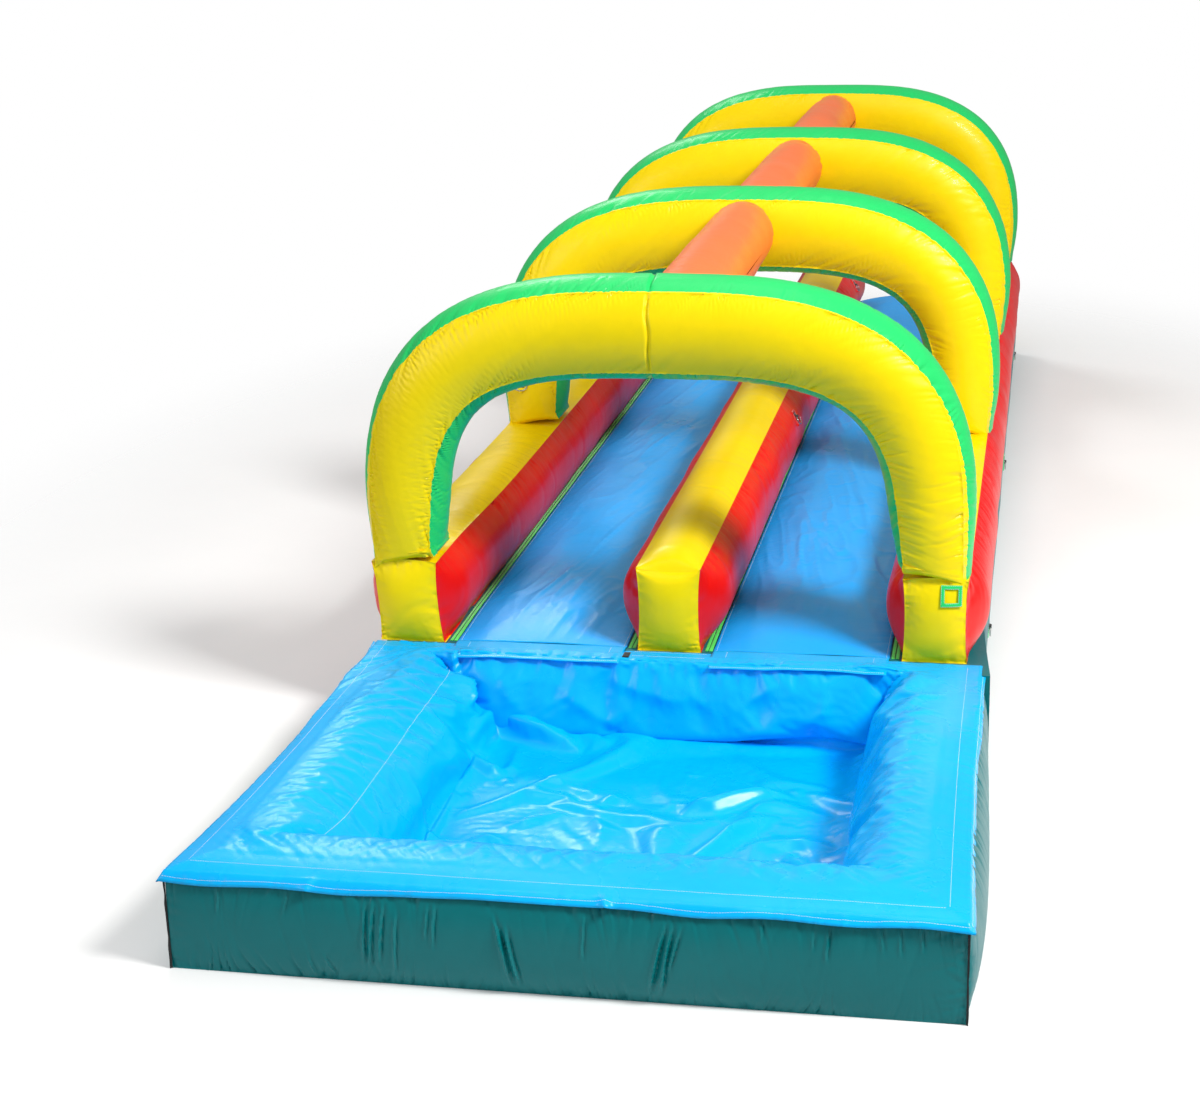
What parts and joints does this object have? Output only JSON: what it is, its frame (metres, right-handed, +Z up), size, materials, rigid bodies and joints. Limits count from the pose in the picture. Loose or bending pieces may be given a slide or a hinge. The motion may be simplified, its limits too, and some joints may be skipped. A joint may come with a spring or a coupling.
{
  "type": "inflatable water slide",
  "caption": "Inflatable water slide: side-by-side crowned lanes between air-filled walls under arches joined by a ridge tube, running into a lined splash pool.",
  "frame": {"origin": "middle of the bounding box, on the ground", "axes": "+X to the right seen from the splash pool, +Y from the splash pool's front to the rear end with the air inlet, +Z up"},
  "size_m": [3.4674, 12.62, 2.428],
  "materials": {
    "teal_vinyl": "glossy PVC-coated polyester",
    "blue_vinyl": "high-gloss PVC-coated polyester",
    "yellow_vinyl": "glossy PVC-coated polyester",
    "red_vinyl": "glossy PVC-coated polyester",
    "green_vinyl": "glossy PVC-coated polyester",
    "orange_vinyl": "glossy PVC-coated polyester",
    "lime_strip": "woven hook-and-loop tape",
    "white_fabric": "coated inner web",
    "black_webbing": "woven webbing",
    "ring_steel": "plated steel rod"
  },
  "bodies": {
    "slide": {"arch_1": "yellow_vinyl", "arch_2": "yellow_vinyl", "arch_3": "yellow_vinyl", "arch_4": "yellow_vinyl", "ridge_tube_1": "orange_vinyl", "ridge_tube_2": "orange_vinyl", "ridge_tube_3": "orange_vinyl", "lane_bed": "teal_vinyl", "bed_baffle_left_inner": "white_fabric", "bed_baffle_left_middle": "white_fabric", "bed_baffle_left_outer": "white_fabric", "bed_baffle_right_inner": "white_fabric", "bed_baffle_right_middle": "white_fabric", "bed_baffle_right_outer": "white_fabric", "pool_front_bumper": "teal_vinyl", "pool_left_bumper": "teal_vinyl", "pool_right_bumper": "teal_vinyl", "pool_floor": "teal_vinyl", "pool_liner": "blue_vinyl", "lane_cover_left": "blue_vinyl", "lane_cover_right": "blue_vinyl", "hook_strip_left_inner": "lime_strip", "hook_strip_left_outer": "lime_strip", "hook_strip_right_inner": "lime_strip", "hook_strip_right_outer": "lime_strip", "side_wall_left": "red_vinyl", "side_wall_right": "red_vinyl", "centre_divider": "yellow_vinyl", "base_left_1_anchor": "green_vinyl", "base_left_2_anchor": "green_vinyl", "base_left_3_anchor": "green_vinyl", "base_right_1_anchor": "green_vinyl", "base_right_2_anchor": "green_vinyl", "base_right_3_anchor": "green_vinyl", "arch_left_anchor": "yellow_vinyl", "divider_1_anchor": "red_vinyl", "divider_2_anchor": "red_vinyl", "cap_frame": "green_vinyl", "inlet_sleeve": "red_vinyl", "inlet_strap": "black_webbing", "zip_tape": "black_webbing"},
    "base_left_1_ring": {"base_left_1_ring": "ring_steel"},
    "base_left_2_ring": {"base_left_2_ring": "ring_steel"},
    "base_left_3_ring": {"base_left_3_ring": "ring_steel"},
    "base_right_1_ring": {"base_right_1_ring": "ring_steel"},
    "base_right_2_ring": {"base_right_2_ring": "ring_steel"},
    "base_right_3_ring": {"base_right_3_ring": "ring_steel"},
    "arch_left_ring": {"arch_left_ring": "ring_steel"},
    "divider_1_ring": {"divider_1_ring": "ring_steel"},
    "divider_2_ring": {"divider_2_ring": "ring_steel"},
    "front_flap_left": {"front_flap_left": "blue_vinyl"},
    "front_flap_right": {"front_flap_right": "blue_vinyl"},
    "zip_slider": {"zip_slider": "ring_steel"},
    "zip_flap": {"zip_flap": "teal_vinyl"}
  },
  "joints": [
    {"name": "base_left_1_ring_swing", "type": "hinge", "parent": "slide", "child": "base_left_1_ring", "pos_m": [-1.63632, -1.91, 0.15], "axis": [0, 1, 0], "range_deg": [0, 150]},
    {"name": "base_left_2_ring_swing", "type": "hinge", "parent": "slide", "child": "base_left_2_ring", "pos_m": [-1.63632, 1.69, 0.15], "axis": [0, 1, 0], "range_deg": [0, 150]},
    {"name": "base_left_3_ring_swing", "type": "hinge", "parent": "slide", "child": "base_left_3_ring", "pos_m": [-1.63632, 5.29, 0.15], "axis": [0, 1, 0], "range_deg": [0, 150]},
    {"name": "base_right_1_ring_swing", "type": "hinge", "parent": "slide", "child": "base_right_1_ring", "pos_m": [1.63632, -1.91, 0.15], "axis": [0, -1, 0], "range_deg": [0, 150]},
    {"name": "base_right_2_ring_swing", "type": "hinge", "parent": "slide", "child": "base_right_2_ring", "pos_m": [1.63632, 1.69, 0.15], "axis": [0, -1, 0], "range_deg": [0, 150]},
    {"name": "base_right_3_ring_swing", "type": "hinge", "parent": "slide", "child": "base_right_3_ring", "pos_m": [1.63632, 5.29, 0.15], "axis": [0, -1, 0], "range_deg": [0, 150]},
    {"name": "arch_left_ring_swing", "type": "hinge", "parent": "slide", "child": "arch_left_ring", "pos_m": [-1.45499, -0.43688, 1.185], "axis": [-1, 0, 0], "range_deg": [0, 150]},
    {"name": "divider_1_ring_swing", "type": "hinge", "parent": "slide", "child": "divider_1_ring", "pos_m": [0.26815, 0.34, 0.80014], "axis": [0, -1, 0], "range_deg": [0, 150]},
    {"name": "divider_2_ring_swing", "type": "hinge", "parent": "slide", "child": "divider_2_ring", "pos_m": [0.26815, 4.99, 0.80014], "axis": [0, -1, 0], "range_deg": [0, 150]},
    {"name": "front_flap_left_lift", "type": "hinge", "parent": "slide", "child": "front_flap_left", "pos_m": [-0.6935, -3.33, 0.4586], "axis": [-1, 0, 0], "range_deg": [0, 100]},
    {"name": "front_flap_right_lift", "type": "hinge", "parent": "slide", "child": "front_flap_right", "pos_m": [0.6935, -3.33, 0.4586], "axis": [-1, 0, 0], "range_deg": [0, 100]},
    {"name": "zip_slider_run", "type": "slide", "parent": "slide", "child": "zip_slider", "axis": [1, 0, 0], "range_m": [0, 0.456]},
    {"name": "zip_flap_lift", "type": "hinge", "parent": "slide", "child": "zip_flap", "pos_m": [1, 6.01346, 0.19], "axis": [1, 0, 0], "range_deg": [0, 150]}
  ]
}
